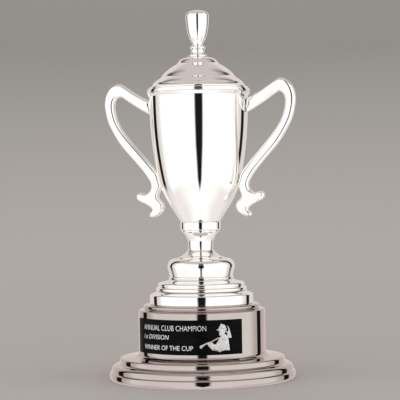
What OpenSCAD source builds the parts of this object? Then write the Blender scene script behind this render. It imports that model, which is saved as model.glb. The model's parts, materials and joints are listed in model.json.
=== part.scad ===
// Lidded presentation cup on a round metal-clad plinth, standing on the XY plane.
// +Z is up, the two handles lie along X and the plaque faces -Y.

/* [Plinth] */
// Outer radius of the flared base
base_radius = 83.3; // [82:0.1:86]
// Outer radius of the plain band
band_radius = 56.8; // [56:0.1:57.5]
// Height of the plinth's top face above the ground
plinth_height = 67.1; // [66:0.1:72]
// Angle round the band that the plaque covers
plaque_arc = 112; // [60:1:150]
// Height of the plaque
plaque_height = 30; // [20:0.5:31]

/* [Foot] */
// Outer radius of the foot's skirt
foot_radius = 46.3; // [45:0.1:48]
// Outer radius of the cushion tier
cushion_radius = 30.2; // [29.5:0.1:31]
// Radius of the stem at its throat
throat_radius = 11.2; // [9:0.1:13]
// Radius of the collar under the bowl
collar_radius = 18.1; // [18:0.1:20]

/* [Bowl and lid] */
// Outer radius of the bowl at its mouth
mouth_radius = 44.4; // [44:0.1:45]
// Height of the bowl from its floor to its mouth
bowl_height = 115.4; // [115:0.1:120]
// Outer radius of the bead round the lid
lid_radius = 46.3; // [46:0.1:47]
// Height of the finial
finial_height = 42.6; // [42.6:0.1:46]
// Largest radius of the finial's tulip
tulip_radius = 10.5; // [9.5:0.1:12]

/* [Handles] */
// Depth of a handle's section, across its plane
handle_depth = 8; // [6:0.5:9]
// Bevel along the edges of a handle
handle_bevel = 1.5; // [1:0.1:1.5]

/* [Sheet and fasteners] */
// Wall of the spun shells
wall = 1.2; // [1:0.1:1.5]
// Diameter of the tie rod
rod_d = 6; // [5:1:8]
// Diameter of the screws that hold the handles and the finial
screw_d = 4; // [3:0.5:4]

/* [Hidden] */
$fn = 96;

silver = "gainsboro";
smoked = "rosybrown";
steel = "silver";

// Heights at which one piece stands on the next.
pad_top = 1;
disc_top = 4;
band_foot = 24;
band_top = plinth_height - 6;
skirt_top = plinth_height + 11.6;
rings_top = plinth_height + 22.3;
cushion_top = plinth_height + 40.8;
stem_top = plinth_height + 65.5;
bowl_foot = plinth_height + 73.5;
mouth = bowl_foot + bowl_height;
lid_gap = 0.1;
lid_foot = mouth + lid_gap;
dome_top = lid_foot + 31.7;
plaque_foot = 26.5;

// Radii shared by the stacked pieces.
rod_r = rod_d / 2;
rod_hole = rod_r + 0.4;
screw_r = screw_d / 2;
thread_gap = 0.05;
seat_x = mouth_radius + 0.1;
plaque_tape_t = 0.4;
plaque_t = 1;

// ---- Outlines ----

// Points on an arc about [x, z], from angle a to angle b.
function arc(x, z, r, a, b, n = 8) =
    [for (i = [0:n]) let (t = a + (b - a) * i / n) [x + r * cos(t), z + r * sin(t)]];

// One point of a smooth curve through four points, at t between the middle two.
function blend(p, q, r, s, t) =
    ((2 * q) + (r - p) * t + (2 * p - 5 * q + 4 * r - s) * t * t
    + (3 * q - p - 3 * r + s) * t * t * t) / 2;

// A smooth curve through a list of points, with n steps between neighbours.
function smooth(pts, n = 3) =
    let (last = len(pts) - 1)
    concat(
        [for (i = [0:last - 1]) for (j = [0:n - 1])
            blend(pts[max(i - 1, 0)], pts[i], pts[i + 1], pts[min(i + 2, last)], j / n)],
        [pts[last]]);

function unit(v) = v / norm(v);
function reverse(pts) = [for (i = [len(pts) - 1:-1:0]) pts[i]];

// The inner side of a sheet whose outer side is pts, listed upwards.
function inner_side(pts, t) =
    let (last = len(pts) - 1)
    [for (i = [0:last])
        let (d = unit(pts[min(i + 1, last)] - pts[max(i - 1, 0)]))
        pts[i] + t * [-d[1], d[0]]];

// A spun sheet of thickness t, with its outer side along pts.
module spun(pts, t = wall) {
    rotate_extrude() polygon(concat(pts, reverse(inner_side(pts, t))));
}

// A turned solid with a bore, its outer side along pts.
module turned(pts, bore) {
    last = len(pts) - 1;
    rotate_extrude() polygon(concat([[bore, pts[0][1]]], pts, [[bore, pts[last][1]]]));
}

// A flat ring standing at height z.
module ring(outer, inner, z, h) {
    translate([0, 0, z]) difference() {
        cylinder(r = outer, h = h);
        translate([0, 0, -1]) cylinder(r = inner, h = h + 2);
    }
}

// A hexagonal nut standing at height z.
module nut(flats, bore, z, h) {
    translate([0, 0, z]) difference() {
        cylinder(r = flats / sqrt(3), h = h, $fn = 6);
        translate([0, 0, -1]) cylinder(r = bore, h = h + 2);
    }
}

// ---- Lid ----

// Three soft tiers: each bulges, steepens, and then eases into the one below.
bead_height = 3.6;
lid_outline = [
    for (p = concat(
        [[lid_radius - 1.6, bead_height], [lid_radius - 1.6, bead_height + 0.5]],
        smooth([[lid_radius - 1.8, 4.6], [43.6, 5.2], [42.3, 5.9], [41.6, 6.6], [41.1, 7.5],
                [40.5, 8.5], [38.0, 10.9], [35.6, 12.5], [34.3, 13.2], [33.5, 13.9],
                [33.0, 14.7], [32.5, 15.5], [31.5, 16.8], [28.6, 19.5], [23.8, 23.2],
                [20.3, 25.2], [18.9, 26.1], [18.2, 27.0], [17.6, 28.0], [16.0, 29.7],
                [13.4, 31.0], [10.4, 31.7]], 2),
        [[screw_r + 0.3, 31.7]]))
    [p[0], lid_foot + p[1]]
];

module lid_dome() {
    color(silver) spun(lid_outline);
}

// The locating ring stands inside the bead and drops into the bowl's mouth.
locating_r = mouth_radius - wall - 0.5;
locating_depth = 3.5;

module lid_rim() {
    bow = 8;
    color(silver) rotate_extrude() polygon(concat(
        [[locating_r, lid_foot], [lid_radius - 0.1, lid_foot], [lid_radius, lid_foot + 0.2]],
        arc(lid_radius - bow, lid_foot + 0.4, bow, 0, 20, 6),
        [[lid_radius - 0.9, lid_foot + bead_height - 0.1],
         [lid_radius - 1.5, lid_foot + bead_height],
         [locating_r, lid_foot + bead_height]]));
}

module lid_locating_ring() {
    color(silver) ring(locating_r, locating_r - wall, lid_foot - locating_depth,
                       bead_height + locating_depth);
}

module finial() {
    base = dome_top;
    color(silver) difference() {
        turned(concat(
            [[8.2, base]],
            arc(7.2, base + 1.4, 1.3, -60, 80, 5),
            smooth([[6.0, base + 3.2], [5.6, base + 4.0], [6.0, base + 5.3], [6.2, base + 6.2],
                    [5.9, base + 7.3]]),
            arc(6.0, base + 8.9, 1.1, -60, 70, 5),
            smooth([[5.0, base + 11.2], [4.9, base + 12.2], [6.1, base + 15.0], [7.8, base + 18.4],
                    [tulip_radius - 1.2, base + 24.0], [tulip_radius - 0.3, base + 31.0],
                    [tulip_radius, base + 36.0], [tulip_radius - 0.1, base + 38.4]]),
            arc(0.01, base + finial_height - 14.6, 14.6, 47, 89.9, 8)),
            0);
        translate([0, 0, base - 1]) cylinder(r = screw_r + thread_gap, h = 15);
    }
}

// The finial's screw comes up from inside the lid, through two washers.
finial_seat = dome_top - wall;

module finial_screw() {
    head_h = 2.6;
    color(steel) union() {
        translate([0, 0, finial_seat - 1.9 - head_h]) cylinder(r = screw_d * 0.9, h = head_h);
        translate([0, 0, finial_seat - 1.9]) cylinder(r = screw_r, h = 15);
    }
}

module finial_washer() {
    color(steel) ring(screw_d * 1.4, screw_r + 0.2, finial_seat - 1, 1);
}

module finial_lock_washer() {
    color(steel) ring(screw_d * 1.05, screw_r + 0.2, finial_seat - 1.9, 0.9);
}

// ---- Bowl ----

bowl_outline = [
    for (p = concat(
        smooth([[collar_radius - 0.4, 0], [collar_radius + 4.4, 7.7], [29.0, 18.1], [34.6, 30.0],
                [38.0, 43.8], [41.2, 62.5], [mouth_radius - 1.2, 81.0],
                [mouth_radius - 0.3, 97.0], [mouth_radius, bowl_height - 6]], 4),
        [[mouth_radius, bowl_height]]))
    [p[0], bowl_foot + p[1]]];

// Radius of the bowl's outside at a height above the ground.
function bowl_radius(z) = lookup(z, [for (p = bowl_outline) [p[1], p[0]]]);

// Where the screws go through the wall: height, and tilt to stand square to it.
handle_fixings = [[mouth - 12.5, 0], [bowl_foot + 37.4, 14]];

// Places its children on the axis of one handle screw, along +X, at the wall's outside.
module at_fixing(fixing, side) {
    mirror([side < 0 ? 1 : 0, 0, 0])
        translate([bowl_radius(fixing[0]), 0, fixing[0]])
            rotate([0, 90 + fixing[1], 0])
                children();
}

module each_fixing() {
    for (side = [-1, 1])
        for (fixing = handle_fixings)
            at_fixing(fixing, side) children();
}

module bowl() {
    color(silver) difference() {
        union() {
            spun(bowl_outline, wall);
            ring(collar_radius - 0.4, rod_hole, bowl_foot, wall + 0.3);
        }
        each_fixing() translate([0, 0, -5]) cylinder(r = screw_r + 0.2, h = 8);
    }
}

// A shaped wire soldered round the mouth, flaring upwards, which the lid's bead stands on.
module rim_wire() {
    inner = mouth_radius + 0.02;
    outer = lid_radius - 0.15;
    color(silver) rotate_extrude() polygon([
        [inner, mouth - 3.2], [inner + 0.3, mouth - 3.0], [outer - 0.2, mouth - 0.8],
        [outer, mouth - 0.4], [outer, mouth], [inner, mouth]]);
}

// ---- Handles ----

// Ribs across one handle in its own plane, [outer side, inner side], from its seat on the bowl
// round the loop and down the leg, then across the leaf with its outward horn and lower hook.
handle_ribs = [
    [[seat_x, 249.4], [seat_x, 237.2]],
    [[50.0, 252.1], [53.2, 241.8]],
    [[58.0, 256.4], [63.0, 247.8]],
    [[66.3, 261.8], [69.4, 252.2]],
    [[73.0, 266.0], [72.6, 254.3]],
    [[77.4, 266.8], [75.2, 255.0]],
    [[82.7, 264.4], [77.6, 254.0]],
    [[87.0, 259.2], [79.6, 251.0]],
    [[89.5, 251.5], [80.3, 247.0]],
    [[89.3, 243.5], [79.9, 241.9]],
    [[86.6, 232.0], [77.8, 233.8]],
    [[81.0, 220.9], [73.7, 225.7]],
    [[73.5, 209.7], [66.7, 216.2]],
    [[61.5, 196.2], [55.4, 203.3]],
    [[53.8, 187.4], [47.6, 194.6]],
    [[49.4, 181.4], [42.0, 188.0]],
    [[46.4, 176.0], [38.7, 184.0]],
    [[45.9, 171.8], [37.0, 178.0]],
    [[47.8, 168.0], [36.0, 173.0]],
    [[51.5, 166.2], [37.6, 168.4]],
    [[54.8, 166.8], [39.1, 164.6]],
    [[57.6, 167.2], [38.8, 162.2]],
    [[59.8, 165.4], [37.9, 160.8]],
    [[59.8, 162.2], [36.6, 159.6]],
    [[57.2, 159.6], [35.5, 158.4]],
    [[53.8, 158.1], [34.6, 157.2]],
    [[50.2, 156.3], [34.1, 155.6]],
    [[46.6, 153.9], [33.9, 153.4]],
    [[45.0, 151.9], [34.6, 151.0]],
    [[46.2, 149.8], [36.2, 149.0]],
    [[48.0, 147.8], [38.6, 147.0]],
    [[47.6, 145.8], [41.8, 145.4]],
    [[46.6, 145.1], [44.2, 144.8]]
];

// A flat casting in the XZ plane with a bevel along both faces. Each rib spans it side to side.
module bevelled_casting(ribs, depth, bevel) {
    outer = smooth([for (rib = ribs) rib[0]]);
    inner = smooth([for (rib = ribs) rib[1]]);
    outline = concat(outer, reverse(inner));
    n = len(outline);
    face = inner_side(outline, -bevel);
    layers = [[face, -depth / 2], [outline, bevel - depth / 2],
              [outline, depth / 2 - bevel], [face, depth / 2]];
    points = [for (layer = layers) for (p = layer[0]) [p[0], layer[1], p[1]]];
    edges = [for (k = [0:2]) for (i = [0:n - 1])
        let (a = k * n + i, b = k * n + (i + 1) % n)
        each [[a, b + n, b], [a, a + n, b + n]]];
    faces = [for (i = [0:n / 2 - 2])
        let (a = i, b = i + 1, c = n - 2 - i, d = n - 1 - i, far = 3 * n)
        each [[a, b, c], [a, c, d], [far + a, far + c, far + b], [far + a, far + d, far + c]]];
    polyhedron(points, concat(edges, faces));
}

module handle(side) {
    color(silver) difference() {
        mirror([side < 0 ? 1 : 0, 0, 0])
            bevelled_casting(handle_ribs, handle_depth, handle_bevel);
        for (fixing = handle_fixings)
            at_fixing(fixing, side) translate([0, 0, -2]) cylinder(r = screw_r + thread_gap, h = 9);
    }
}

module handle_left() {
    handle(-1);
}

module handle_right() {
    handle(1);
}

// A handle's washer lies a little inside the curved wall.
washer_t = 0.8;
washer_seat = wall + 0.5;

module handle_washers() {
    color(steel) each_fixing() translate([0, 0, -washer_seat - washer_t]) difference() {
        cylinder(r = screw_d, h = washer_t);
        translate([0, 0, -1]) cylinder(r = screw_r + 0.2, h = washer_t + 2);
    }
}

module handle_screws() {
    head_h = 2.4;
    color(steel) each_fixing() translate([0, 0, -washer_seat - washer_t]) {
        translate([0, 0, -head_h]) cylinder(r = screw_d * 0.85, h = head_h);
        cylinder(r = screw_r, h = 8);
    }
}

// ---- Clamp in the bowl ----

bowl_floor = bowl_foot + wall + 0.3;

module cup_gasket() {
    color("saddlebrown") ring(14, rod_hole, bowl_floor, 1);
}

module cup_washer() {
    color(steel) ring(13, rod_hole, bowl_floor + 1, 1.5);
}

module cup_nut() {
    seat = bowl_floor + 2.5;
    flats = rod_d * 1.67;
    color(steel) difference() {
        union() {
            translate([0, 0, seat]) cylinder(r = flats / sqrt(3), h = 5.5, $fn = 6);
            translate([0, 0, seat + 5.5]) cylinder(r = flats / 2 - 0.4, h = 1);
            translate([0, 0, seat + 6.5]) intersection() {
                sphere(r = flats / 2 - 0.4);
                cylinder(r = flats, h = flats);
            }
        }
        translate([0, 0, seat - 1]) cylinder(r = rod_r + thread_gap, h = 8);
    }
}

module tie_rod() {
    low = disc_top + 1;
    color(steel) translate([0, 0, low]) cylinder(r = rod_r, h = bowl_floor + 9 - low);
}

// ---- Stem and foot ----

module collar() {
    color(silver) turned(concat(
        [[collar_radius - 1.3, stem_top], [collar_radius - 0.6, stem_top + 0.4]],
        [[collar_radius, stem_top + 1.2], [collar_radius, bowl_foot - 0.7]],
        [[collar_radius - 0.4, bowl_foot]]),
        rod_hole);
}

module stem() {
    low = cushion_top;
    color(silver) turned(concat(
        [[20.6, low]],
        smooth([[20.4, low + 0.7], [17.0, low + 2.2], [13.4, low + 5.0], [11.9, low + 6.9]]),
        [[throat_radius - 0.5, low + 7.4]],
        smooth([[throat_radius - 0.3, low + 8.3], [throat_radius, low + 11.4],
                [throat_radius + 0.1, low + 15.2]]),
        smooth([[throat_radius + 0.9, low + 17.4], [13.4, low + 20.0], [15.4, low + 22.8]]),
        [[16.8, low + 23.7], [16.8, stem_top]]),
        rod_hole);
}

// A spun tier with a flat top that the tie rod goes through.
module tier(pts) {
    last = len(pts) - 1;
    spun(pts);
    ring(pts[last][0], rod_hole, pts[last][1] - wall, wall);
}

module foot_cushion() {
    low = rings_top;
    r = cushion_radius;
    color(silver) tier(concat(
        arc(r - 2.4, low + 1.2, 1.2, -80, 60, 5),
        smooth([[r - 2.0, low + 2.8], [r - 1.2, low + 5.8], [r - 0.2, low + 9.6], [r, low + 11.0],
                [r - 0.5, low + 13.9], [r - 2.3, low + 16.6], [r - 5.2, low + 18.0],
                [r - 8.8, cushion_top]])));
}

module foot_rings() {
    low = skirt_top;
    color(silver) tier(concat(
        arc(38.8, low + 1.95, 1.95, -80, 55, 8),
        arc(37.0, low + 5.7, 1.95, -48, 70, 8),
        smooth([[36.4, low + 7.9], [33.4, low + 8.5], [30.6, low + 9.4], [28.6, rings_top]])));
}

module foot_skirt() {
    low = plinth_height;
    r = foot_radius;
    color(silver) tier(concat(
        [[r - 0.7, low], [r, low + 0.7], [r, low + 7.6]],
        arc(r - 1.2, low + 7.8, 1.2, 20, 70, 3),
        smooth([[r - 1.6, low + 9.3], [r - 3.4, low + 9.9], [r - 5.0, low + 10.8],
                [r - 5.8, skirt_top]])));
}

module foot_disc() {
    color(steel) ring(foot_radius - wall - 0.6, rod_hole, plinth_height, 1.5);
}

// ---- Plinth ----

module plinth_cap() {
    r = band_radius;
    top = plinth_height;
    color(smoked) tier(concat(
        [[r, band_top], [r, band_top + 0.7], [r - 0.5, band_top + 1.2]],
        smooth([[r - 1.4, band_top + 1.5], [r - 2.9, band_top + 1.7], [r - 4.6, band_top + 2.1]]),
        arc(r - 6.6, top - 1.9, 1.9, -40, 90, 8),
        [[foot_radius + 2, top]]));
}

module plinth_band() {
    color(smoked) ring(band_radius, band_radius - wall, band_foot, band_top - band_foot);
}

module plinth_base() {
    r = base_radius;
    color(smoked) spun(concat(
        arc(r - 3.4, 3.4, 3.4, -85, 0, 6),
        arc(r - 1.0, 6.1, 0.9, 0, 75, 4),
        smooth([[r - 1.3, 7.2], [r - 1.7, 7.8], [r - 1.9, 8.7]]),
        arc(r - 6.1, 9.5, 4.3, 0, 75, 8),
        smooth([[r - 6.2, 13.9], [r - 7.9, 14.4], [r - 8.9, 15.2], [r - 9.3, 16.2]]),
        arc(r - 11.3, 18.2, 1.9, 0, 80, 6),
        smooth([[r - 12.7, 20.2], [r - 17.8, 20.7], [band_radius + 4.7, 21.2],
                [band_radius + 3.0, 21.7], [band_radius + 1.4, 22.5],
                [band_radius + 0.5, band_foot]])),
        1);
    color(smoked) ring(band_radius + 0.5, band_radius - wall, band_foot - 1, 1);
}

// A strip bent round the band, centred on -Y.
module bent_strip(inner, thickness, arc_angle, z, h) {
    rotate([0, 0, 270 - arc_angle / 2])
        rotate_extrude(angle = arc_angle)
            translate([inner, z]) square([thickness, h]);
}

module plaque_tape() {
    color("dimgray") bent_strip(band_radius, plaque_tape_t, plaque_arc - 4,
                                plaque_foot + 1, plaque_height - 2);
}

module plaque() {
    color("black") bent_strip(band_radius + plaque_tape_t, plaque_t, plaque_arc,
                              plaque_foot, plaque_height);
}

recess_r = 12;
recess_top = 14;

module plinth_core() {
    shoulder = band_top - 1;
    color("burlywood") difference() {
        union() {
            translate([0, 0, disc_top]) cylinder(r = band_radius - wall - 0.3, h = shoulder - disc_top);
            translate([0, 0, shoulder]) cylinder(r = foot_radius, h = plinth_height - wall - shoulder);
        }
        translate([0, 0, disc_top - 1]) cylinder(r = recess_r, h = recess_top - disc_top + 1);
        cylinder(r = rod_hole, h = plinth_height);
    }
}

module ballast_ring() {
    color("dimgray") ring(base_radius - 12.3, band_radius + 0.6, disc_top, 8);
}

module base_disc() {
    color("peru") ring(base_radius - 3.2, recess_r, pad_top, disc_top - pad_top);
}

// The lower end of the tie rod is fastened in the recess.
module rod_washer() {
    color(steel) ring(rod_d * 1.6, rod_hole, recess_top - 1.6, 1.6);
}

module rod_lock_washer() {
    color(steel) ring(rod_d * 0.95, rod_hole, recess_top - 3.1, 1.5);
}

module rod_nut() {
    color(steel) nut(rod_d * 1.67, rod_r + thread_gap, recess_top - 8.1, 5);
}

module felt_pad() {
    color("darkgreen") cylinder(r = base_radius - 4, h = pad_top);
}

finial();
lid_dome();
lid_rim();
lid_locating_ring();
finial_screw();
finial_washer();
finial_lock_washer();
bowl();
rim_wire();
handle_left();
handle_right();
handle_screws();
handle_washers();
cup_nut();
cup_washer();
cup_gasket();
tie_rod();
collar();
stem();
foot_cushion();
foot_rings();
foot_skirt();
foot_disc();
plinth_cap();
plinth_band();
plinth_base();
plaque();
plaque_tape();
plinth_core();
ballast_ring();
base_disc();
rod_washer();
rod_lock_washer();
rod_nut();
felt_pad();
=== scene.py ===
"""Lidded presentation cup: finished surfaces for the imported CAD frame."""
import bpy
import bmesh
import json
import math
from mathutils import Matrix, Vector
from mathutils.geometry import delaunay_2d_cdt


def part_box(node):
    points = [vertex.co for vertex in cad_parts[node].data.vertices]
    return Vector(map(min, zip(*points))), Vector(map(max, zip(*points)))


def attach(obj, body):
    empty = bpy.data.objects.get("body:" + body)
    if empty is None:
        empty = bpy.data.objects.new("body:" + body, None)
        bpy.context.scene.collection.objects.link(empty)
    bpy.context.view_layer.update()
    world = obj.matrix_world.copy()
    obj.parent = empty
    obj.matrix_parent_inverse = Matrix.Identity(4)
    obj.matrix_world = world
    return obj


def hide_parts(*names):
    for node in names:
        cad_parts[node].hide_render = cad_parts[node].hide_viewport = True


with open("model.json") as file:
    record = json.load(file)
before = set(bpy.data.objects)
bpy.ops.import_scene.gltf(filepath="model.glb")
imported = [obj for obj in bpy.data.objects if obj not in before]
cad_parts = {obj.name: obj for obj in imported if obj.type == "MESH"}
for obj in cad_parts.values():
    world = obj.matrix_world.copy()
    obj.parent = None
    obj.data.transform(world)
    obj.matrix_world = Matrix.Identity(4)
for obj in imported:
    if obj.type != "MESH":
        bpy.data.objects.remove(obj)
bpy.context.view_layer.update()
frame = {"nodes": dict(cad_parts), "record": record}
MM = 0.001
TURNS = 224          # facets round a turned piece


# ---------------------------------------------------------------- measures from the frame, in mm

def low(node):
    """Height of a node's underside."""
    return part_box(node)[0].z / MM


def high(node):
    """Height of a node's top."""
    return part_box(node)[1].z / MM


def reach(node):
    """Largest radius of a node that is round about the Z axis."""
    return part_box(node)[1].x / MM


# ---------------------------------------------------------------- outlines

def smooth(points, steps=7):
    """A smooth curve through points, as a list of points close together."""
    pts = [Vector(p) for p in points]
    out = []
    for i in range(len(pts) - 1):
        p, q, r, s = (pts[max(i - 1, 0)], pts[i], pts[i + 1], pts[min(i + 2, len(pts) - 1)])
        for j in range(steps):
            t = j / steps
            out.append((2 * q + (r - p) * t + (2 * p - 5 * q + 4 * r - s) * t * t
                        + (3 * q - p - 3 * r + s) * t ** 3) / 2)
    out.append(pts[-1])
    return [tuple(p) for p in out]


def arc(x, z, radius, start, end, steps=12):
    """Points on an arc about (x, z), angles in degrees."""
    angles = [math.radians(start + (end - start) * i / steps) for i in range(steps + 1)]
    return [(x + radius * math.cos(a), z + radius * math.sin(a)) for a in angles]


def rounded(points, radius=0.3, steps=4, least=14):
    """Rounds each corner of an open outline that turns by more than `least` degrees."""
    pts = [Vector(p) for p in points]
    out = [pts[0]]
    for p, q, r in zip(pts, pts[1:], pts[2:]):
        a, b = p - q, r - q
        if a.length < 1e-6 or b.length < 1e-6:
            continue
        turn = math.pi - a.angle(b)
        if math.degrees(turn) < least:
            out.append(q)
            continue
        cut = min(radius * math.tan(turn / 2), a.length * 0.45, b.length * 0.45)
        start, end = q + a.normalized() * cut, q + b.normalized() * cut
        for i in range(steps + 1):
            t = i / steps
            out.append(start * (1 - t) ** 2 + q * 2 * t * (1 - t) + end * t * t)
    out.append(pts[-1])
    return [tuple(p) for p in out]


def raised(points, height):
    """The outline moved up."""
    return [(r, z + height) for r, z in points]


def inside(points, thickness):
    """The inner side of a sheet whose outer side is listed upwards."""
    pts = [Vector(p) for p in points]
    out = []
    for i, point in enumerate(pts):
        d = (pts[min(i + 1, len(pts) - 1)] - pts[max(i - 1, 0)]).normalized()
        out.append(tuple(point + thickness * Vector((-d.y, d.x))))
    return out


# ---------------------------------------------------------------- meshes

def add_piece(name, mesh, body, material, slot, *nodes):
    """Links a finished mesh as a piece of the object."""
    piece = bpy.data.objects.new(name, mesh)
    bpy.context.scene.collection.objects.link(piece)
    mesh.materials.clear()
    mesh.materials.append(material)
    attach(piece, body)
    if nodes:
        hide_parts(*nodes)
    return piece


def finish_mesh(name, bm, sharp=32):
    """Turns a bmesh into a mesh with smooth faces and sharp edges only where they turn hard."""
    bmesh.ops.remove_doubles(bm, verts=bm.verts, dist=1e-7)
    bmesh.ops.recalc_face_normals(bm, faces=bm.faces)
    for face in bm.faces:
        face.smooth = True
    for edge in bm.edges:
        edge.smooth = not (edge.is_manifold and edge.calc_face_angle() > math.radians(sharp))
    mesh = bpy.data.meshes.new(name)
    bm.to_mesh(mesh)
    bm.free()
    return mesh


def revolve(name, outline, turns=TURNS):
    """A closed outline of (radius, height) in mm, turned about the Z axis."""
    bm = bmesh.new()
    rings = []
    for radius, height in outline:
        if radius < 1e-4:
            rings.append([bm.verts.new((0, 0, height * MM))])
            continue
        angles = [2 * math.pi * i / turns for i in range(turns)]
        rings.append([bm.verts.new((radius * MM * math.cos(a), radius * MM * math.sin(a),
                                    height * MM)) for a in angles])
    for first, second in zip(rings, rings[1:] + rings[:1]):
        if len(first) == 1 and len(second) == 1:
            continue
        for i in range(turns):
            k = (i + 1) % turns
            if len(first) == 1:
                bm.faces.new((first[0], second[k], second[i]))
            elif len(second) == 1:
                bm.faces.new((first[i], first[k], second[0]))
            else:
                bm.faces.new((first[i], first[k], second[k], second[i]))
    return finish_mesh(name, bm)


def spun(name, outline, thickness, closing=()):
    """A spun sheet: the outline, any points that close its top, and its inner side."""
    outer = list(outline)
    inner = inside(outer, thickness)
    return revolve(name, outer + list(closing) + inner[::-1])


# ---------------------------------------------------------------- materials

class Shader:
    """A shorthand for building one material's nodes."""

    def __init__(self, name):
        self.material = bpy.data.materials.new(name)
        self.material.use_nodes = True
        self.tree = self.material.node_tree
        self.bsdf = self.tree.nodes["Principled BSDF"]
        self.coord = self.tree.nodes.new("ShaderNodeTexCoord")

    def node(self, kind, **values):
        made = self.tree.nodes.new(kind)
        for key, value in values.items():
            if key in made.inputs:
                made.inputs[key].default_value = value
            else:
                setattr(made, key, value)
        return made

    def link(self, source, target):
        self.tree.links.new(source, target)

    def noise(self, scale, detail=3.0, stretch=(1, 1, 1), roughness=0.55):
        """Noise in the object's own space, drawn out along an axis by a small stretch."""
        mapping = self.node("ShaderNodeMapping")
        mapping.inputs["Scale"].default_value = stretch
        self.link(self.coord.outputs["Object"], mapping.inputs["Vector"])
        made = self.node("ShaderNodeTexNoise", Scale=scale, Detail=detail, Roughness=roughness)
        self.link(mapping.outputs["Vector"], made.inputs["Vector"])
        return made

    def spread(self, source, low_value, high_value, start=0.3, end=0.7):
        """Maps a value onto a range of values."""
        made = self.node("ShaderNodeMapRange")
        made.inputs["From Min"].default_value = start
        made.inputs["From Max"].default_value = end
        made.inputs["To Min"].default_value = low_value
        made.inputs["To Max"].default_value = high_value
        self.link(source, made.inputs["Value"])
        return made.outputs["Result"]

    def tint(self, source, dark, light, start=0.3, end=0.7):
        """Maps a value onto a range of colours."""
        made = self.node("ShaderNodeValToRGB")
        ramp = made.color_ramp
        ramp.elements[0].position = start
        ramp.elements[0].color = (*dark, 1)
        ramp.elements[1].position = end
        ramp.elements[1].color = (*light, 1)
        self.link(source, made.inputs["Fac"])
        return made.outputs["Color"]

    def bump(self, source, strength, distance):
        made = self.node("ShaderNodeBump", Strength=strength, Distance=distance)
        self.link(source, made.inputs["Height"])
        self.link(made.outputs["Normal"], self.bsdf.inputs["Normal"])


def polished_metal(name, dark, light, rough_low, rough_high, ripple):
    """Mirror plate: a faint bloom in its colour, polishing haze and a very slight ripple."""
    s = Shader(name)
    s.bsdf.inputs["Metallic"].default_value = 1.0
    bloom = s.noise(14, 4)
    s.link(s.tint(bloom.outputs["Fac"], dark, light), s.bsdf.inputs["Base Color"])
    haze = s.noise(90, 6, roughness=0.7)
    s.link(s.spread(haze.outputs["Fac"], rough_low, rough_high), s.bsdf.inputs["Roughness"])
    wave = s.noise(22, 1.5)
    s.bump(wave.outputs["Fac"], 0.12, ripple)
    return s.material


def zinc_steel(name):
    """Bright zinc plate with crystalline mottling."""
    s = Shader(name)
    s.bsdf.inputs["Metallic"].default_value = 1.0
    mottle = s.noise(420, 4)
    s.link(s.tint(mottle.outputs["Fac"], (0.42, 0.42, 0.44), (0.62, 0.62, 0.62)),
           s.bsdf.inputs["Base Color"])
    s.link(s.spread(mottle.outputs["Fac"], 0.24, 0.42), s.bsdf.inputs["Roughness"])
    s.bump(mottle.outputs["Fac"], 0.2, 0.00004)
    return s.material


def black_enamel(name):
    """Gloss black lacquer on a thin plate, with faint wiping marks."""
    s = Shader(name)
    s.bsdf.inputs["Specular IOR Level"].default_value = 0.04
    wipe = s.noise(60, 5, stretch=(1, 1, 6))
    s.link(s.tint(wipe.outputs["Fac"], (0.0015, 0.0015, 0.0018), (0.005, 0.005, 0.0055)),
           s.bsdf.inputs["Base Color"])
    s.link(s.spread(wipe.outputs["Fac"], 0.22, 0.36), s.bsdf.inputs["Roughness"])
    orange_peel = s.noise(900, 2)
    s.bump(orange_peel.outputs["Fac"], 0.1, 0.00002)
    return s.material


def engraved_silver(name):
    """Bare metal where the engraver's cutter has passed: fine parallel cuts."""
    s = Shader(name)
    s.bsdf.inputs["Metallic"].default_value = 0.55
    cuts = s.noise(2600, 2, stretch=(0.25, 0.25, 3))
    s.link(s.tint(cuts.outputs["Fac"], (0.66, 0.66, 0.66), (0.93, 0.93, 0.92)),
           s.bsdf.inputs["Base Color"])
    s.link(s.spread(cuts.outputs["Fac"], 0.32, 0.5), s.bsdf.inputs["Roughness"])
    s.bump(cuts.outputs["Fac"], 0.3, 0.00003)
    return s.material


def cast_relief(name):
    """Satin pewter relief, a little darker where it was blackened and wiped."""
    s = Shader(name)
    s.bsdf.inputs["Metallic"].default_value = 0.6
    wipe = s.noise(700, 4)
    s.link(s.tint(wipe.outputs["Fac"], (0.45, 0.44, 0.44), (0.85, 0.84, 0.83)),
           s.bsdf.inputs["Base Color"])
    s.link(s.spread(wipe.outputs["Fac"], 0.3, 0.5), s.bsdf.inputs["Roughness"])
    s.bump(wipe.outputs["Fac"], 0.4, 0.0001)
    return s.material


def turned_wood(name, dark, light):
    """Turned block, with its grain drawn out along the Z axis."""
    s = Shader(name)
    grain = s.noise(55, 6, stretch=(1, 1, 0.12))
    s.link(s.tint(grain.outputs["Fac"], dark, light), s.bsdf.inputs["Base Color"])
    s.link(s.spread(grain.outputs["Fac"], 0.55, 0.75), s.bsdf.inputs["Roughness"])
    s.bump(grain.outputs["Fac"], 0.4, 0.0002)
    return s.material


def wool_felt(name):
    """Pressed felt: matted fibres in two sizes."""
    s = Shader(name)
    s.bsdf.inputs["Sheen Weight"].default_value = 0.5
    fibre = s.noise(1800, 5, stretch=(1, 0.4, 1))
    s.link(s.tint(fibre.outputs["Fac"], (0.008, 0.05, 0.025), (0.03, 0.13, 0.07)),
           s.bsdf.inputs["Base Color"])
    s.link(s.spread(fibre.outputs["Fac"], 0.85, 1.0), s.bsdf.inputs["Roughness"])
    s.bump(fibre.outputs["Fac"], 0.8, 0.0004)
    return s.material


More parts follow.
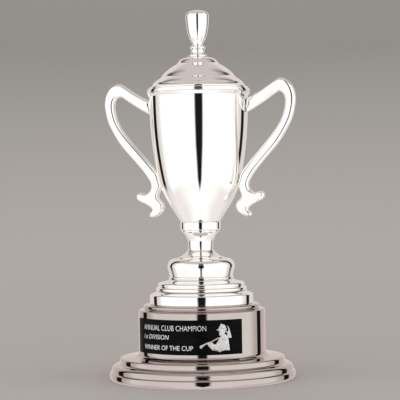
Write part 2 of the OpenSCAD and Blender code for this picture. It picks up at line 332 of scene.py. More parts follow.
def rough_stock(name, dark, light, metallic, scale):
    """Any hidden stock part: mottled, matt."""
    s = Shader(name)
    s.bsdf.inputs["Metallic"].default_value = metallic
    grit = s.noise(scale, 5)
    s.link(s.tint(grit.outputs["Fac"], dark, light), s.bsdf.inputs["Base Color"])
    s.link(s.spread(grit.outputs["Fac"], 0.6, 0.85), s.bsdf.inputs["Roughness"])
    s.bump(grit.outputs["Fac"], 0.5, 0.0002)
    return s.material


SILVER = polished_metal("silver_plate", (0.90, 0.885, 0.87), (0.955, 0.95, 0.94), 0.018, 0.05,
                        0.00003)
SMOKED = polished_metal("smoked_plate", (0.50, 0.445, 0.42), (0.56, 0.505, 0.48), 0.02, 0.055,
                        0.00003)
STEEL = zinc_steel("zinc_steel")
BLACK = black_enamel("black_enamel")
RELIEF = cast_relief("cast_relief")
ENGRAVED = engraved_silver("engraved_silver")
WOOD = turned_wood("turned_wood", (0.34, 0.21, 0.10), (0.60, 0.43, 0.25))
BOARD = rough_stock("fibreboard", (0.20, 0.13, 0.08), (0.36, 0.25, 0.15), 0.0, 700)
IRON = rough_stock("cast_iron", (0.05, 0.05, 0.055), (0.13, 0.13, 0.135), 0.8, 500)
GASKET = rough_stock("vulcanised_fibre", (0.22, 0.08, 0.05), (0.36, 0.15, 0.09), 0.0, 600)
FILM = rough_stock("adhesive_film", (0.16, 0.16, 0.16), (0.26, 0.26, 0.26), 0.0, 900)
FELT = wool_felt("wool_felt")

SLOT_MATERIALS = {
    "silver_plate": SILVER, "smoked_plate": SMOKED, "steel_hardware": STEEL,
    "black_plaque": BLACK, "core_wood": WOOD, "fibreboard": BOARD, "ballast_iron": IRON,
    "fibre_gasket": GASKET, "adhesive_film": FILM, "felt": FELT,
}
for row in frame["record"]["subparts"]:
    node = frame["nodes"][row["node"]]
    node.data.materials.clear()
    node.data.materials.append(SLOT_MATERIALS[row["material_slot"]])
    for polygon in node.data.polygons:
        polygon.material_index = 0


# ---------------------------------------------------------------- lid

WALL = 1.2            # thickness of the spun sheet
SCREW_BORE = 2.3      # radius of the hole in the lid for the finial's screw


def make_lid():
    """The bead, and the shell that rises from it in three soft tiers."""
    seat = low("lid_rim")
    edge = reach("lid_rim")
    top = high("lid_rim") - seat
    ring_r = reach("lid_locating_ring")
    bow = 8.0         # radius of the bead's face
    bead = ([(ring_r, 0), (edge - 0.15, 0), (edge, 0.25)]
            + arc(edge - bow, 0.4, bow, 2, 20, 10)
            + [(edge - 0.9, top - 0.1), (edge - 1.5, top), (ring_r, top)])
    add_piece("lid_bead", revolve("lid_bead", raised(rounded(bead, 0.35, 5), seat)), "lid",
              SILVER, "silver_plate", "lid_rim")

    boss_top = 31.7
    tiers = smooth([
        (edge - 1.8, 4.6), (43.6, 5.2), (42.3, 5.9), (41.6, 6.6), (41.1, 7.5), (40.5, 8.5),
        (38.0, 10.9), (35.6, 12.5), (34.3, 13.2), (33.5, 13.9), (33.0, 14.7), (32.5, 15.5),
        (31.5, 16.8), (28.6, 19.5), (23.8, 23.2), (20.3, 25.2), (18.9, 26.1), (18.2, 27.0),
        (17.6, 28.0), (16.0, 29.7), (13.4, 31.0),
        (10.4, boss_top)], 6)
    dome = [(edge - 1.6, top), (edge - 1.6, top + 0.5)] + tiers + [(SCREW_BORE, boss_top)]
    add_piece("lid_shell", spun("lid_shell", raised(dome, seat), WALL), "lid", SILVER,
              "silver_plate", "lid_dome")


def make_finial():
    """A ringed foot, a neck and the tulip above it."""
    base = low("finial")
    tip = high("finial") - base
    crown = reach("finial")
    outline = (
        [(0, 0), (8.2, 0)]
        + arc(7.2, 1.4, 1.3, -55, 80, 10)
        + smooth([(6.0, 3.2), (5.55, 4.1), (6.1, 5.3), (6.3, 6.2), (5.9, 7.3)], 6)
        + arc(6.0, 8.9, 1.15, -60, 70, 10)
        + smooth([(5.0, 11.2), (4.9, 12.2), (6.1, 15.0), (7.8, 18.4), (crown - 1.2, 24.0),
                  (crown - 0.3, 31.0), (crown, 36.0), (crown - 0.1, 38.4)], 8)
        + smooth([(crown - 0.6, 39.6), (8.0, 41.1), (4.6, 42.2), (0, tip)], 8))
    mesh = revolve("finial_turning", raised(rounded(outline, 0.35, 4), base), 160)
    add_piece("finial_turning", mesh, "lid", SILVER, "silver_plate", "finial")


# ---------------------------------------------------------------- bowl

MOUTH_R = 44.4        # outer radius of the bowl at its mouth


def make_bowl():
    """The open vase and the wire that flares round its mouth."""
    foot = low("bowl")
    mouth = high("bowl") - foot
    collar_r = reach("collar")
    floor = WALL + 0.3
    side = smooth([(collar_r - 0.4, 0), (collar_r + 4.4, 7.7), (29.0, 18.1), (34.6, 30.0),
                   (38.0, 43.8), (41.2, 62.5), (MOUTH_R - 1.2, 81.0), (MOUTH_R - 0.3, 97.0),
                   (MOUTH_R, mouth - 6)], 14) + [(MOUTH_R, mouth)]
    inner = [p for p in inside(side, WALL) if p[1] > floor]
    outline = [(0, 0)] + side + inner[::-1] + [(collar_r - 0.6, floor), (0, floor)]
    add_piece("bowl_spinning", revolve("bowl_spinning", raised(outline, foot), 256), "cup",
              SILVER, "silver_plate", "bowl")

    inner_r = MOUTH_R + 0.02
    outer_r = reach("rim_wire")
    rim = [(inner_r, -3.2), (inner_r + 0.3, -3.0), (outer_r - 0.2, -0.8), (outer_r, -0.4),
           (outer_r, 0), (inner_r, 0)]
    add_piece("rim_wire_flare",
              revolve("rim_wire_flare", raised(rounded(rim, 0.3, 4), foot + mouth)),
              "cup", SILVER, "silver_plate", "rim_wire")


# ---------------------------------------------------------------- handles

# The handle's two sides in its own plane, from the seat on the bowl to the hook's tip.
OUTER_SIDE = [
    (44.5, 249.4), (50.0, 252.1), (58.0, 256.4), (66.3, 261.8), (73.0, 266.0), (77.4, 266.8),
    (82.7, 264.4), (87.0, 259.2), (89.45, 251.5), (89.3, 243.5), (86.6, 232.0), (81.0, 220.9),
    (73.5, 209.7), (61.5, 196.2), (53.8, 187.4), (49.4, 181.4), (46.4, 176.0), (45.9, 171.8),
    (47.8, 168.0), (51.5, 166.2), (54.8, 166.8), (57.6, 167.2), (59.8, 165.4), (59.8, 162.2),
    (57.2, 159.6), (53.8, 158.1), (50.2, 156.3), (46.6, 153.9), (45.0, 151.9), (46.2, 149.8),
    (48.0, 147.8), (47.6, 145.8), (46.6, 145.1)]
INNER_SIDE = [
    (44.5, 237.2), (53.2, 241.8), (63.0, 247.8), (69.4, 252.2), (72.6, 254.3), (75.2, 255.0),
    (77.6, 254.0), (79.6, 251.0), (80.3, 247.0), (79.9, 241.9), (77.8, 233.8), (73.7, 225.7),
    (66.7, 216.2), (55.4, 203.3), (47.6, 194.6), (42.0, 188.0), (38.7, 184.0), (37.0, 178.0),
    (36.0, 173.0), (37.6, 168.4), (39.1, 164.6), (38.8, 162.2), (37.9, 160.8), (36.6, 159.6),
    (35.5, 158.4), (34.6, 157.2), (34.1, 155.6), (33.9, 153.4), (34.6, 151.0), (36.2, 149.0),
    (38.6, 147.0), (41.8, 145.4), (44.2, 144.8)]
EDGE_HALF = 1.3       # half the depth of the handle's edge
CROWN = 2.7           # how far its broad face swells beyond the edge
BAR_SWELL = 4.6       # distance from the edge over which the bar's face swells
LEAF_SWELL = 3.0      # and the leaf's, at the handle's foot
LEAF_TOP = 186.0      # below this height the bar becomes the leaf
LEAF_BLEND = 12.0     # over this much height
EDGE_STEP = 0.8       # distance between points along the edge


def spaced(points, gap):
    """Points at even distances along an open line."""
    out = [points[0]]
    left = gap
    for p, q in zip(points, points[1:]):
        length = (q - p).length
        done = 0.0
        while length - done >= left:
            done += left
            out.append(p + (q - p) * (done / length))
            left = gap
        left -= length - done
    return out


def distance_to(loop, point):
    """Distance from a point to a closed line."""
    best = 1e9
    for p, q in zip(loop, loop[1:] + loop[:1]):
        side = q - p
        t = min(max((point - p).dot(side) / max(side.length_squared, 1e-12), 0.0), 1.0)
        best = min(best, (point - p - side * t).length)
    return best


def swell_at(height):
    """Distance from the edge over which the face swells at a height."""
    blend = min(max((LEAF_TOP - height) / LEAF_BLEND, 0.0), 1.0)
    return BAR_SWELL * (1 - blend) + LEAF_SWELL * blend


def casting_points(loop):
    """Rings of points inside the outline, closest together where the section is roundest."""
    count = len(loop)
    inner, depths = [], []
    for turn in (10, 21, 33, 46, 60, 75, 90):
        share = 1 - math.cos(math.radians(turn))
        for i in range(0, count, 1 if turn < 50 else 2):
            way = (loop[(i + 1) % count] - loop[i - 1]).normalized()
            inset = swell_at(loop[i].y) * share
            point = loop[i] + Vector((way.y, -way.x)) * inset
            if distance_to(loop, point) > inset - 0.02:
                inner.append(point)
                depths.append(EDGE_HALF + CROWN * math.sin(math.radians(turn)))
    return inner, depths


def make_handle(side):
    """A cast bar whose broad faces are crowned, cut to the outline of its two sides."""
    outer = spaced([Vector(p) for p in smooth(OUTER_SIDE, 10)], EDGE_STEP)
    inner = spaced([Vector(p) for p in smooth(INNER_SIDE, 10)], EDGE_STEP)
    loop = outer + inner[::-1]
    points, depths = casting_points(loop)
    rim = len(loop)
    edges = [(i, (i + 1) % rim) for i in range(rim)]
    flat, _, faces, *_ = delaunay_2d_cdt(loop + points, edges, [], 1, 1e-4)
    depths = [EDGE_HALF] * rim + depths
    bm = bmesh.new()
    front = [bm.verts.new((side * p.x * MM, -d * MM, p.y * MM)) for p, d in zip(flat, depths)]
    back = [bm.verts.new((side * p.x * MM, d * MM, p.y * MM)) for p, d in zip(flat, depths)]
    for face in faces:
        bm.faces.new([front[i] for i in face])
        bm.faces.new([back[i] for i in reversed(face)])
    for i, k in edges:
        bm.faces.new((front[i], front[k], back[k], back[i]))
    word = "right" if side > 0 else "left"
    mesh = finish_mesh(f"handle_{word}_casting", bm, 60)
    add_piece(f"handle_{word}_casting", mesh, "cup", SILVER, "silver_plate", f"handle_{word}")


# ---------------------------------------------------------------- stem and foot

BORE = 3.4            # radius of the holes for the tie rod
THROAT_R = 11.2       # radius of the stem at its throat
CUSHION_R = 30.2      # radius of the foot's cushion


def make_stem_and_foot():
    """Collar, stem, cushion, ring mouldings and skirt, from the top down."""
    r = reach("collar")
    z = low("collar")
    top = high("collar") - z
    collar = [(BORE, 0), (r - 1.3, 0), (r - 0.6, 0.4), (r, 1.2), (r, top - 0.7), (r - 0.4, top),
              (BORE, top)]
    add_piece("collar_turning", revolve("collar_turning", raised(rounded(collar, 0.5, 4), z)),
              "cup", SILVER, "silver_plate", "collar")

    z = low("stem")
    top = high("stem") - z
    throat = THROAT_R
    stem = ([(BORE, 0), (20.6, 0)]
            + smooth([(20.4, 0.7), (17.0, 2.2), (13.4, 5.0), (11.9, 6.9)], 7)
            + smooth([(throat - 0.5, 7.4), (throat - 0.3, 8.3), (throat, 11.4),
                      (throat + 0.1, 15.2)], 6)
            + smooth([(throat + 0.9, 17.4), (13.4, 20.0), (15.4, 22.8)], 7)
            + [(16.8, 23.7), (16.8, top), (BORE, top)])
    add_piece("stem_turning", revolve("stem_turning", raised(rounded(stem, 0.3), z)),
              "cup", SILVER, "silver_plate", "stem")

    z = low("foot_cushion")
    top = high("foot_cushion") - z
    r = CUSHION_R
    cushion = (arc(r - 2.4, 1.2, 1.2, -80, 60, 8)
               + smooth([(r - 2.0, 2.8), (r - 1.2, 5.8), (r - 0.2, 9.6), (r, 11.0),
                         (r - 0.5, 13.9), (r - 2.3, 16.6), (r - 5.2, 18.0), (r - 8.8, top)], 9))
    mesh = spun("cushion_tier", raised(rounded(cushion + [(BORE, top)]), z), WALL)
    add_piece("cushion_tier", mesh, "cup", SILVER, "silver_plate", "foot_cushion")

    z = low("foot_rings")
    top = high("foot_rings") - z
    rings = (arc(38.8, 1.95, 1.95, -80, 55, 12) + arc(37.0, 5.7, 1.95, -48, 70, 12)
             + smooth([(36.4, 7.9), (33.4, 8.5), (30.6, 9.4), (28.6, top)], 8))
    mesh = spun("ring_mouldings", raised(rounded(rings + [(BORE, top)]), z), WALL)
    add_piece("ring_mouldings", mesh, "cup", SILVER, "silver_plate", "foot_rings")

    z = low("foot_skirt")
    top = high("foot_skirt") - z
    r = reach("foot_skirt")
    skirt = ([(r - 0.7, 0), (r, 0.7), (r, 7.6)] + arc(r - 1.2, 7.8, 1.2, 20, 70, 5)
             + smooth([(r - 1.6, 9.3), (r - 3.4, 9.9), (r - 5.0, 10.8), (r - 5.8, top)], 6))
    mesh = spun("foot_skirt_tier", raised(rounded(skirt + [(BORE, top)]), z), WALL)
    add_piece("foot_skirt_tier", mesh, "cup", SILVER, "silver_plate", "foot_skirt")


# ---------------------------------------------------------------- plinth

BASE_WALL = 1.0       # thickness of the plinth's flared base


def make_plinth():
    """Cap, band and flared base."""
    r = reach("plinth_band")
    foot_r = reach("foot_skirt")
    z = low("plinth_cap")
    top = high("plinth_cap") - z
    cap = ([(r, 0), (r, 0.7), (r - 0.5, 1.2)]
           + smooth([(r - 1.4, 1.5), (r - 2.9, 1.7), (r - 4.6, 2.1)], 6)
           + arc(r - 6.6, top - 1.9, 1.9, -40, 90, 14) + [(foot_r + 2, top)])
    mesh = spun("plinth_cap_spinning", raised(rounded(cap + [(BORE, top)], 0.5), z), WALL)
    add_piece("plinth_cap_spinning", mesh, "cup", SMOKED, "smoked_plate", "plinth_cap")

    z = low("plinth_band")
    top = high("plinth_band") - z
    band = [(r, 0), (r, top), (r - WALL, top), (r - WALL, 0)]
    add_piece("plinth_band_sheet", revolve("plinth_band_sheet", raised(band, z), 288), "cup",
              SMOKED, "smoked_plate", "plinth_band")

    e = reach("plinth_base")
    seat = high("plinth_base")
    base = (arc(e - 3.4, 3.4, 3.4, -85, 0, 12) + arc(e - 1.0, 6.1, 0.9, 0, 75, 7)
            + smooth([(e - 1.3, 7.2), (e - 1.7, 7.8), (e - 1.9, 8.7)], 4)
            + arc(e - 6.1, 9.5, 4.3, 0, 75, 18)
            + smooth([(e - 6.2, 13.9), (e - 7.9, 14.4), (e - 8.9, 15.2), (e - 9.3, 16.2)], 6)
            + arc(e - 11.3, 18.2, 1.9, 0, 80, 12)
            + smooth([(e - 12.7, 20.2), (e - 17.8, 20.7), (r + 4.7, 21.2), (r + 3.0, 21.7),
                      (r + 1.4, 22.5), (r + 0.5, seat)], 8))
    mesh = spun("plinth_base_spinning", rounded(base, 0.25), BASE_WALL,
                [(r - WALL, seat), (r - WALL, seat - 1)])
    add_piece("plinth_base_spinning", mesh, "cup", SMOKED, "smoked_plate", "plinth_base")


# ---------------------------------------------------------------- plaque

PLAQUE_HALF = math.radians(54)
PLAQUE_STEPS = 120    # facets along the plaque
LETTER_RELIEF = 0.16
LETTER_ROOT = 0.08    # how far the letters' backs are sunk in the plate


def wrap(point, radius):
    """Bends a flat point (along, out, up) in mm onto the plaque, whose middle faces -Y."""
    angle = point[0] / radius
    r = radius + point[1]
    return Vector((r * math.sin(angle), -r * math.cos(angle), point[2])) * MM


def make_plaque():
    """The bent plate, with softened corners along its long edges."""
    inner, outer = reach_of_plaque()
    z0, z1 = low("plaque"), high("plaque")
    section = rounded([(inner, z0), (outer, z0), (outer, z1), (inner, z1)])
    section = section + [(inner, (z0 + z1) / 2)]
    bm = bmesh.new()
    rings = []
    for i in range(PLAQUE_STEPS + 1):
        a = -PLAQUE_HALF + 2 * PLAQUE_HALF * i / PLAQUE_STEPS
        rings.append([bm.verts.new((r * MM * math.sin(a), -r * MM * math.cos(a), z * MM))
                      for r, z in section])
    for first, second in zip(rings, rings[1:]):
        for i in range(len(section)):
            k = (i + 1) % len(section)
            bm.faces.new((first[i], first[k], second[k], second[i]))
    bm.faces.new(rings[0])
    bm.faces.new(rings[-1])
    add_piece("plaque_plate", finish_mesh("plaque_plate", bm), "cup", BLACK, "black_plaque",
              "plaque")


def reach_of_plaque():
    """Inner and outer radius of the plaque, which stands on its tape round the band."""
    outer = -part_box("plaque")[0].y / MM
    inner = -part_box("plaque_tape")[0].y / MM
    return inner, outer


def make_line(name, words, start, width, cap_height, middle, slant=0.0, weight=0.0):
    """One engraved line: from a start along the plate, with its letters' middle at a height."""
    curve = bpy.data.curves.new(name, "FONT")
    curve.body = words
    curve.size = 1.0
    curve.shear = slant
    curve.offset = weight
    curve.extrude = 0.05
    curve.resolution_u = 3
    flat = bpy.data.objects.new(name, curve)
    bpy.context.scene.collection.objects.link(flat)
    bpy.context.view_layer.update()
    graph = bpy.context.evaluated_depsgraph_get()
    mesh = bpy.data.meshes.new_from_object(flat.evaluated_get(graph))
    bpy.data.objects.remove(flat)
    xs = [v.co.x for v in mesh.vertices]
    ys = [v.co.y for v in mesh.vertices]
    _, outer = reach_of_plaque()
    wide = width / (max(xs) - min(xs))
    tall = cap_height / (max(ys) - min(ys))
    bm = bmesh.new()
    bm.from_mesh(mesh)
    for v in bm.verts:
        out = LETTER_RELIEF if v.co.z > 0 else -LETTER_ROOT
        along = start + (v.co.x - min(xs)) * wide
        v.co = wrap((along, out, middle + (v.co.y - (max(ys) + min(ys)) / 2) * tall), outer)
    add_piece(name, finish_mesh(name, bm, 20), "cup", ENGRAVED, "black_plaque")


RELIEF_EDGE = 0.9     # distance from a relief's edge over which it swells
RELIEF_ROOT = 0.1     # how far its back is sunk in the plate


def puffed(name, outline, base, rise, corner):
    """A cushion-edged piece of relief, bent onto the plaque at a corner (along, up)."""
    _, outer = reach_of_plaque()
    loop = [Vector(p) for p in smooth(outline + [outline[0]], 4)][:-1]
    area = sum(p.x * q.y - q.x * p.y for p, q in zip(loop, loop[1:] + loop[:1]))
    if area < 0:
        loop = loop[::-1]
    points, heights = list(loop), [0.0] * len(loop)
    for share, height in ((0.12, 0.45), (0.35, 0.75), (0.65, 0.93), (1.0, 1.0)):
        for i in range(len(loop)):
            way = (loop[(i + 1) % len(loop)] - loop[i - 1]).normalized()
            point = loop[i] + Vector((-way.y, way.x)) * RELIEF_EDGE * share
            if distance_to(loop, point) > RELIEF_EDGE * share - 0.01:
                points.append(point)
                heights.append(height)
    edges = [(i, (i + 1) % len(loop)) for i in range(len(loop))]
    flat, _, faces, *_ = delaunay_2d_cdt(points, edges, [], 1, 1e-4)
    bm = bmesh.new()
    along, up = corner
    top = [bm.verts.new(wrap((p.x + along, base + rise * h, p.y + up), outer))
           for p, h in zip(flat, heights)]
    rim = [bm.verts.new(wrap((p.x + along, -RELIEF_ROOT, p.y + up), outer)) for p in loop]
    for face in faces:
        bm.faces.new([top[i] for i in face])
    for i, k in edges:
        bm.faces.new((top[i], rim[i], rim[k], top[k]))
    bm.faces.new(rim)
    add_piece(name, finish_mesh(name, bm, 50), "cup", RELIEF, "black_plaque")


# A helmeted figure of no one in particular, facing left. Each piece has the height of its
# foot above the plate, its own rise and its outline, measured from the figure's lower left.
FIGURE = [
    ("figure_pack", 0.0, 0.5, [(21.4, 15.4), (22.0, 18.0), (21.2, 20.6), (22.0, 19.9), (22.9, 18.4),
                               (23.5, 16.2), (24.6, 12.4), (24.4, 11.5), (22.4, 11.5),
                               (21.0, 12.4)]),
    ("figure_coat", 0.1, 0.7, [(16.2, 12.8), (18.6, 13.2), (20.6, 13.4), (21.8, 11.8), (22.4, 7.6),
                               (23.0, 3.2), (22.9, 2.4), (19.4, 2.4), (16.6, 1.9), (15.4, 1.2),
                               (14.2, 1.6), (12.4, 2.3), (9.6, 2.8), (9.0, 4.0), (10.6, 6.2),
                               (12.6, 7.8), (13.6, 9.4), (14.6, 11.4)]),
    ("figure_neck", 0.3, 0.5, [(16.0, 13.9), (17.6, 14.6), (20.0, 14.2), (20.2, 12.4), (18.4, 10.9),
                               (17.0, 11.4)]),
    ("figure_head", 0.4, 0.7, [(15.1, 18.4), (14.9, 17.6), (14.75, 16.9), (14.35, 16.0),
                               (14.9, 15.75), (14.75, 15.3), (14.95, 14.9), (14.85, 14.3),
                               (15.3, 13.4), (16.3, 13.0), (17.6, 13.5), (18.7, 14.3),
                               (19.4, 15.8), (19.4, 18.4)]),
    ("figure_ear", 1.05, 0.25, [(17.5, 16.4), (18.0, 16.8), (18.4, 16.3), (18.2, 15.5),
                                (17.7, 15.2), (17.5, 15.7)]),
    ("figure_brim", 0.9, 0.5, [(12.7, 17.5), (13.8, 18.3), (15.8, 18.9), (18.0, 18.6), (20.2, 16.9),
                               (21.9, 15.2), (21.4, 14.8), (20.0, 15.7), (18.0, 17.2),
                               (16.0, 17.7), (14.2, 17.2)]),
    ("figure_helmet", 0.8, 0.8, [(14.6, 18.4), (14.9, 20.0), (16.0, 21.5), (17.6, 21.8),
                                 (19.2, 20.9), (20.2, 19.0), (20.5, 17.2), (18.4, 18.3),
                                 (16.4, 18.7)]),
    ("figure_crest", 1.3, 0.5, [(15.2, 20.1), (15.9, 21.8), (16.5, 22.5), (17.1, 21.9),
                                (18.8, 21.4), (19.8, 20.0), (18.4, 20.9), (17.0, 21.2),
                                (16.0, 20.7)]),
    ("figure_collar", 0.9, 0.5, [(15.6, 12.6), (16.9, 13.2), (18.6, 12.6), (19.2, 11.0),
                                 (18.4, 9.9), (17.2, 10.6)]),
    ("figure_strap", 1.0, 0.4, [(14.3, 11.8), (15.4, 12.0), (18.8, 9.0), (18.6, 7.9), (17.6, 8.2)]),
    ("figure_arm", 0.9, 0.7, [(14.0, 9.6), (15.6, 10.6), (17.6, 8.4), (17.9, 5.4), (16.8, 3.0),
                              (14.0, 2.6), (11.0, 3.3), (8.6, 4.6), (8.3, 6.6), (9.4, 7.4),
                              (11.4, 7.2), (13.0, 7.6)]),
    ("figure_band", 1.4, 0.45, [(14.0, 9.8), (15.2, 10.9), (17.7, 8.6), (16.6, 6.7), (15.6, 6.3),
                                (14.2, 7.8)]),
    ("figure_cuff", 1.3, 0.45, [(7.4, 8.2), (9.2, 8.9), (10.5, 6.9), (10.2, 4.2), (9.0, 3.9),
                                (7.6, 4.9)]),
    ("figure_tube", 0.3, 0.5, [(5.6, 8.3), (9.6, 9.9), (13.8, 12.0), (14.9, 12.1), (14.4, 11.4),
                               (9.8, 9.2), (5.8, 7.6)]),
    ("figure_hand", 1.2, 0.6, [(5.2, 8.0), (6.6, 8.9), (8.6, 8.9), (9.2, 7.4), (8.4, 5.6),
                               (7.2, 5.4), (6.2, 6.7)]),
    ("figure_nozzle", 0.8, 0.6, [(0.3, 5.3), (0.5, 6.3), (2.2, 7.0), (4.6, 8.1), (6.2, 8.9),
                                 (6.6, 8.2), (4.6, 6.9), (2.8, 5.5), (1.6, 4.2), (0.9, 4.2)]),
]
FIGURE_AT = (15.2, 0.9)       # along the plate and above its lower edge
FIGURE_SCALE = 1.17
WORDS_START = -43.2           # along the plate


def make_figure():
    """The relief figure, with its heights kept low for a thin casting."""
    corner = (FIGURE_AT[0], low("plaque") + FIGURE_AT[1])
    for name, base, rise, outline in FIGURE:
        scaled = [(u * FIGURE_SCALE, v * FIGURE_SCALE) for u, v in outline]
        puffed(name, scaled, base * 0.5, rise * 0.7, corner)


def make_words():
    """The three engraved lines."""
    foot = low("plaque")
    make_line("line_one", "ANNUAL CLUB CHAMPION", WORDS_START, 64.5, 4.6, foot + 23.1,
              weight=-0.008)
    make_line("line_two", "1st DIVISION", WORDS_START, 31, 4.0, foot + 15.1, slant=0.25,
              weight=-0.004)
    make_line("line_three", "WINNER OF THE CUP", WORDS_START, 53, 4.1, foot + 6.0, weight=0.002)


make_lid()
make_finial()
make_bowl()
make_handle(1)
make_handle(-1)
make_stem_and_foot()
make_plinth()
make_plaque()
make_words()
make_figure()


# ---------------------------------------------------------------- camera

AZIMUTH = 17.5        # degrees from the front toward +X
ROLL = 0.9            # degrees
DISTANCE = 1.305      # from the object's axis
EYE = 0.162           # height of the lens above the ground
LENS = 130.7
SHIFT = -0.0058


def make_camera():
    """A level camera at the object's middle height, very slightly rolled."""
    data = bpy.data.cameras.new("camera")
    data.lens = LENS
    data.sensor_width = 36
    data.shift_y = SHIFT
    data.clip_start, data.clip_end = 0.05, 50
    camera = bpy.data.objects.new("camera", data)
    bpy.context.scene.collection.objects.link(camera)
    a = math.radians(AZIMUTH)
    place = Matrix.Translation((DISTANCE * math.sin(a), -DISTANCE * math.cos(a), EYE))
    aim = (Matrix.Rotation(a, 4, "Z") @ Matrix.Rotation(math.pi / 2, 4, "X")
           @ Matrix.Rotation(math.radians(-ROLL), 4, "Z"))
    camera.matrix_world = place @ aim
    bpy.context.scene.camera = camera


# ---------------------------------------------------------------- studio

def cove_paint():
    """Pale on the floor, deepening up the wall."""
    s = Shader("pale_floor")
    split = s.node("ShaderNodeSeparateXYZ")
    s.link(s.coord.outputs["Object"], split.inputs["Vector"])
    climb = s.spread(split.outputs["Z"], 0.0, 1.0, 0.0, 1.1)
    s.link(s.tint(climb, (0.60, 0.585, 0.57), (0.33, 0.32, 0.31), 0.0, 0.5),
           s.bsdf.inputs["Base Color"])
    s.bsdf.inputs["Roughness"].default_value = 0.9
    s.bsdf.inputs["Specular IOR Level"].default_value = 0.0
    return s.material


def make_stage():
    """A wide round cove: the pale floor and backdrop, which only the camera sees."""
    cove = [(0.3, 0), (1.5, 0)] + arc(1.5, 1.2, 1.2, -90, 0, 24) + [(2.7, 4.0)]
    bm = bmesh.new()
    turns = 96
    rings = []
    for radius, height in cove:
        angles = [2 * math.pi * i / turns for i in range(turns)]
        rings.append([bm.verts.new((radius * math.cos(a), radius * math.sin(a), height))
                      for a in angles])
    bm.faces.new(rings[0])
    for first, second in zip(rings, rings[1:]):
        for i in range(turns):
            k = (i + 1) % turns
            bm.faces.new((first[i], first[k], second[k], second[i]))
    floor = bpy.data.objects.new("floor", finish_mesh("floor", bm))
    bpy.context.scene.collection.objects.link(floor)
    floor.data.materials.append(cove_paint())
    floor.visible_glossy = False
    floor.visible_diffuse = False
    floor.visible_shadow = False


class Sky:
    """A shorthand for the world's nodes."""

    def __init__(self):
        self.world = bpy.data.worlds.new("studio")
        self.world.use_nodes = True
        self.tree = self.world.node_tree
        bpy.context.scene.world = self.world

    def put(self, socket, value):
        if isinstance(value, (int, float)):
            socket.default_value = value
        elif isinstance(value, tuple):
            socket.default_value = (*value, 1)
        else:
            self.tree.links.new(value, socket)

    def math(self, kind, first, second=0.0):
        made = self.tree.nodes.new("ShaderNodeMath")
        made.operation = kind
        self.put(made.inputs[0], first)
        self.put(made.inputs[1], second)
        return made.outputs["Value"]

    def ramp(self, source, stops):
        made = self.tree.nodes.new("ShaderNodeValToRGB")
        made.color_ramp.interpolation = "LINEAR"
        while len(made.color_ramp.elements) < len(stops):
            made.color_ramp.elements.new(0.5)
        for element, (position, colour) in zip(made.color_ramp.elements, stops):
            element.position = position
            element.color = (*colour, 1) if isinstance(colour, tuple) else (colour,) * 3 + (1,)
        self.put(made.inputs["Fac"], source)
        return made.outputs["Color"]

    def mix(self, factor, first, second):
        made = self.tree.nodes.new("ShaderNodeMix")
        made.data_type = "RGBA"
        self.put(made.inputs["Factor"], factor)
        colours = [socket for socket in made.inputs if socket.type == "RGBA"]
        self.put(colours[0], first)
        self.put(colours[1], second)
        return next(socket for socket in made.outputs if socket.type == "RGBA")


WHITE = (1.16, 1.15, 1.13)            # walls in front, and the ground before them
SOFT = (0.78, 0.75, 0.73)             # walls at the sides
PALE = (0.78, 0.705, 0.67)            # wall behind the object
BLACK_GAP = (0.012, 0.011, 0.011)
DIM_GAP = (0.16, 0.145, 0.14)
GROUND = (0.93, 0.87, 0.845)
CEILING = (0.64, 0.575, 0.555)
GAP_BLUR = 4.0                        # degrees over which the edge of the front gap softens


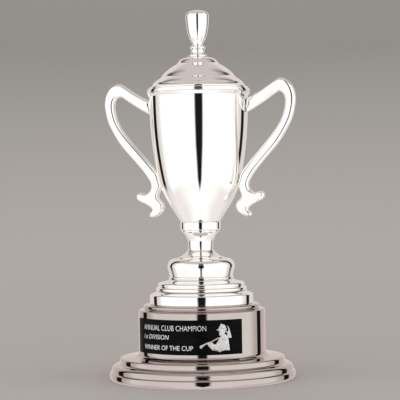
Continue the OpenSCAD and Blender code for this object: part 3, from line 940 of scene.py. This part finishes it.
def make_studio():
    """A white tent round the table, with gaps toward the camera and at its back corners."""
    sky = Sky()
    coord = sky.tree.nodes.new("ShaderNodeTexCoord")
    turn = sky.tree.nodes.new("ShaderNodeMapping")
    turn.inputs["Rotation"].default_value = (0, 0, math.radians(-AZIMUTH))
    sky.put(turn.inputs["Vector"], coord.outputs["Generated"])
    split = sky.tree.nodes.new("ShaderNodeSeparateXYZ")
    sky.put(split.inputs["Vector"], turn.outputs["Vector"])
    across, away, up = split.outputs
    angle = sky.math("ARCTAN2", across, sky.math("MULTIPLY", away, -1.0))
    swing = sky.math("DIVIDE", sky.math("ABSOLUTE", angle), math.pi)
    lift = sky.math("ADD", sky.math("DIVIDE", sky.math("ARCSINE", up), math.pi), 0.5)

    def at(degrees):
        """Place on a ramp of an angle to either side of the camera."""
        return degrees / 180

    def height(degrees):
        """Place on a ramp of an angle above the horizon."""
        return degrees / 180 + 0.5

    walls = sky.ramp(swing, [
        (0.0, WHITE), (at(96), WHITE), (at(110), SOFT), (at(125), SOFT), (at(128), PALE),
        (1.0, PALE)])
    roof = sky.ramp(lift, [(0.0, 0.0), (height(36), 0.0), (height(48), 1.0), (1.0, 1.0)])
    ground = sky.ramp(lift, [(0.0, 1.0), (height(-36), 1.0), (height(-22), 0.0), (1.0, 0.0)])
    floor = sky.ramp(swing, [(0.0, WHITE), (at(35), WHITE), (at(85), GROUND), (1.0, GROUND)])
    tent = sky.mix(ground, sky.mix(roof, walls, CEILING), floor)

    # Two slots at the back corners stop short of the floor and fade into the roof, and a
    # wider, softer pair joins them there.
    slot = sky.ramp(swing, [(0.0, 0.0), (at(117), 0.0), (at(119.5), 1.0), (at(131.5), 1.0),
                            (at(134), 0.0), (1.0, 0.0)])
    wide_slot = sky.ramp(swing, [(0.0, 0.0), (at(88), 0.0), (at(118), 1.0), (at(134), 1.0),
                                 (at(150), 0.0), (1.0, 0.0)])
    low_part = sky.ramp(lift, [(0.0, 0.0), (height(-22), 0.0), (height(-14), 1.0),
                               (height(32), 1.0), (height(44), 0.0), (1.0, 0.0)])
    high_part = sky.ramp(lift, [(0.0, 0.0), (height(26), 0.0), (height(40), 0.9),
                                (height(70), 0.0), (1.0, 0.0)])
    tent = sky.mix(sky.math("MULTIPLY", slot, low_part), tent, BLACK_GAP)
    tent = sky.mix(sky.math("MULTIPLY", wide_slot, high_part), tent, BLACK_GAP)

    # The gap toward the camera closes downward to a point, and dims toward the roof.
    half_width = sky.ramp(lift, [
        (0.0, 0.0), (height(-54), 0.0), (height(-12), at(10.4)), (height(0), at(11.4)),
        (1.0, at(11.4))])
    inside_gap = sky.math("SUBTRACT", half_width, swing)
    edge = sky.ramp(sky.math("MULTIPLY", inside_gap, 180 / GAP_BLUR), [(0.0, 0.0), (1.0, 1.0)])
    below_roof = sky.ramp(lift, [(0.0, 1.0), (height(46), 1.0), (height(58), 0.0), (1.0, 0.0)])
    gap_colour = sky.ramp(lift, [
        (0.0, DIM_GAP), (height(-50), DIM_GAP), (height(-25), BLACK_GAP), (height(14), BLACK_GAP),
        (height(26), DIM_GAP), (1.0, DIM_GAP)])
    colour = sky.mix(sky.math("MULTIPLY", edge, below_roof), tent, gap_colour)
    sky.put(sky.tree.nodes["Background"].inputs["Color"], colour)


make_camera()
make_stage()
make_studio()
bpy.context.scene.view_settings.view_transform = "Standard"
